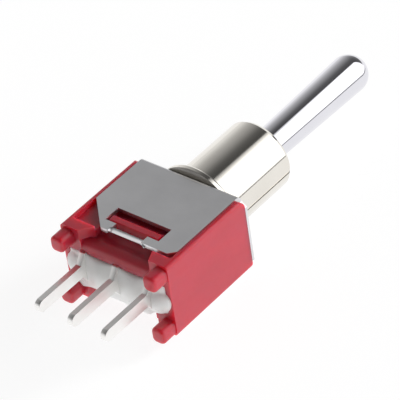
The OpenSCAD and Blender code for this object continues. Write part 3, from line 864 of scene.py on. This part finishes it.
def makeDome(s):
    world = bpy.data.worlds.new("studioDome")
    bpy.context.scene.world = world
    world.use_nodes = True
    tree = world.node_tree
    tree.nodes.clear()
    output = addNode(tree, "ShaderNodeOutputWorld")
    background = addNode(tree, "ShaderNodeBackground")
    place = addNode(tree, "ShaderNodeTexCoord")
    parts = addNode(tree, "ShaderNodeSeparateXYZ")
    tree.links.new(place.outputs["Generated"], parts.inputs["Vector"])
    height = parts.outputs["Z"]
    turn = mathNode(tree, "DEGREES", mathNode(tree, "ARCTAN2", parts.outputs["Y"], parts.outputs["X"]), 0.0)
    around = rampNode(tree, turn, s["turn"], -180, 180)
    gap = mixedColour(tree, spread(tree, height, 0, 1, *s["gapFoot"]), grey(1.0), around)
    level = multiplied(tree, rampNode(tree, height, s["rise"], -1, 1), gap)

    nearY, farY, frontLevel = s["front"]  # dim in front of the terminals and to their side
    front = product(tree, spread(tree, parts.outputs["Y"], 1, 0, nearY, farY),
                    spread(tree, height, 0, 1, *s["frontRise"]),
                    spread(tree, mathNode(tree, "ABSOLUTE", turn, 0.0), 1, 0, *s["frontTurn"]))
    outer, inner, innerEnd, outerEnd = s["asideTurn"]
    aside = product(tree, spread(tree, turn, 0, 1, outer, inner), spread(tree, turn, 1, 0, innerEnd, outerEnd),
                    spread(tree, height, 0, 1, *s["asideRise"]))
    shade = mixedColour(tree, mathNode(tree, "MAXIMUM", front, aside), grey(1.0), grey(frontLevel))
    dimmed = multiplied(tree, level, shade)

    first, last = s["sideTurn"]  # bright card at the side, with a dark seam under it and a dark edge above
    firstSoft, lastSoft = s["sideSoft"]
    beside = product(tree, spread(tree, turn, 0, 1, first - firstSoft, first + firstSoft),
                     spread(tree, turn, 1, 0, last - lastSoft, last + lastSoft))
    low, softTop, top = s["sideRise"]
    capTurn, fullTurn, capLow, capHigh = s["sideCap"]
    soft = s["edgeSoft"]
    cap = mathNode(tree, "MAXIMUM", spread(tree, turn, 0, 1, capTurn, fullTurn),
                   spread(tree, height, 1, 0, capLow, capHigh))
    card = product(tree, beside, spread(tree, height, 1, 0, softTop, top),
                   spread(tree, height, 0, 1, low - soft, low + soft), cap)
    seamLow, seamLevel = s["seam"]
    softUnder, softOver = s["seamSoft"]
    strip = product(tree, beside, spread(tree, height, 1, 0, low - softUnder, low + softOver),
                    spread(tree, height, 0, 1, seamLow - soft, seamLow + soft))
    above = product(tree, beside, spread(tree, height, 0, 1, softTop, top))
    shaded = mixedColour(tree, above, dimmed, grey(s["aboveLevel"]))
    seamed = mixedColour(tree, strip, shaded, grey(seamLevel))
    lit = mixedColour(tree, card, seamed, grey(s["sideLevel"]))
    path = addNode(tree, "ShaderNodeLightPath")
    colour = mixedColour(tree, path.outputs["Is Camera Ray"], lit, grey(1.0))
    tree.links.new(colour, background.inputs["Color"])
    tree.links.new(background.outputs["Background"], output.inputs["Surface"])


def makeKey(s):
    data = bpy.data.lights.new("softKey", "SUN")
    data.energy = s["keyLevel"]
    data.angle = math.radians(s["keySpread"])
    lamp = bpy.data.objects.new("softKey", data)
    turn, rise = math.radians(s["keyTurn"]), math.radians(s["keyRise"])
    towards = Vector((math.cos(turn) * math.cos(rise), math.sin(turn) * math.cos(rise), math.sin(rise)))
    lamp.matrix_world = towards.to_track_quat("Z", "Y").to_matrix().to_4x4()
    lamp.visible_glossy = False  # metal mirrors the dome alone
    bpy.context.collection.objects.link(lamp)


makeFloor(studio)
makeDome(studio)
makeKey(studio)


# camera fitted to the photograph

cameraFit = {
    "right": (0.77723, 0.61746, -0.12102), "up": (-0.31632, 0.54971, 0.77315), "back": (0.54392, -0.56264, 0.62257),
    "place": (98.213, -101.583, 112.889), "lens": 269.36,
}


def makeCamera(s):
    data = bpy.data.cameras.new("photoCamera")
    data.lens = s["lens"]
    data.sensor_width = 36
    data.clip_start = 0.01
    data.clip_end = 20
    camera = bpy.data.objects.new("photoCamera", data)
    turn = Matrix((s["right"], s["up"], s["back"])).transposed().to_4x4()
    camera.matrix_world = Matrix.Translation(Vector(s["place"]) * mm) @ turn
    bpy.context.collection.objects.link(camera)
    bpy.context.scene.camera = camera


makeCamera(cameraFit)
bpy.context.scene.view_settings.view_transform = "Standard"
print("studio and camera ready")
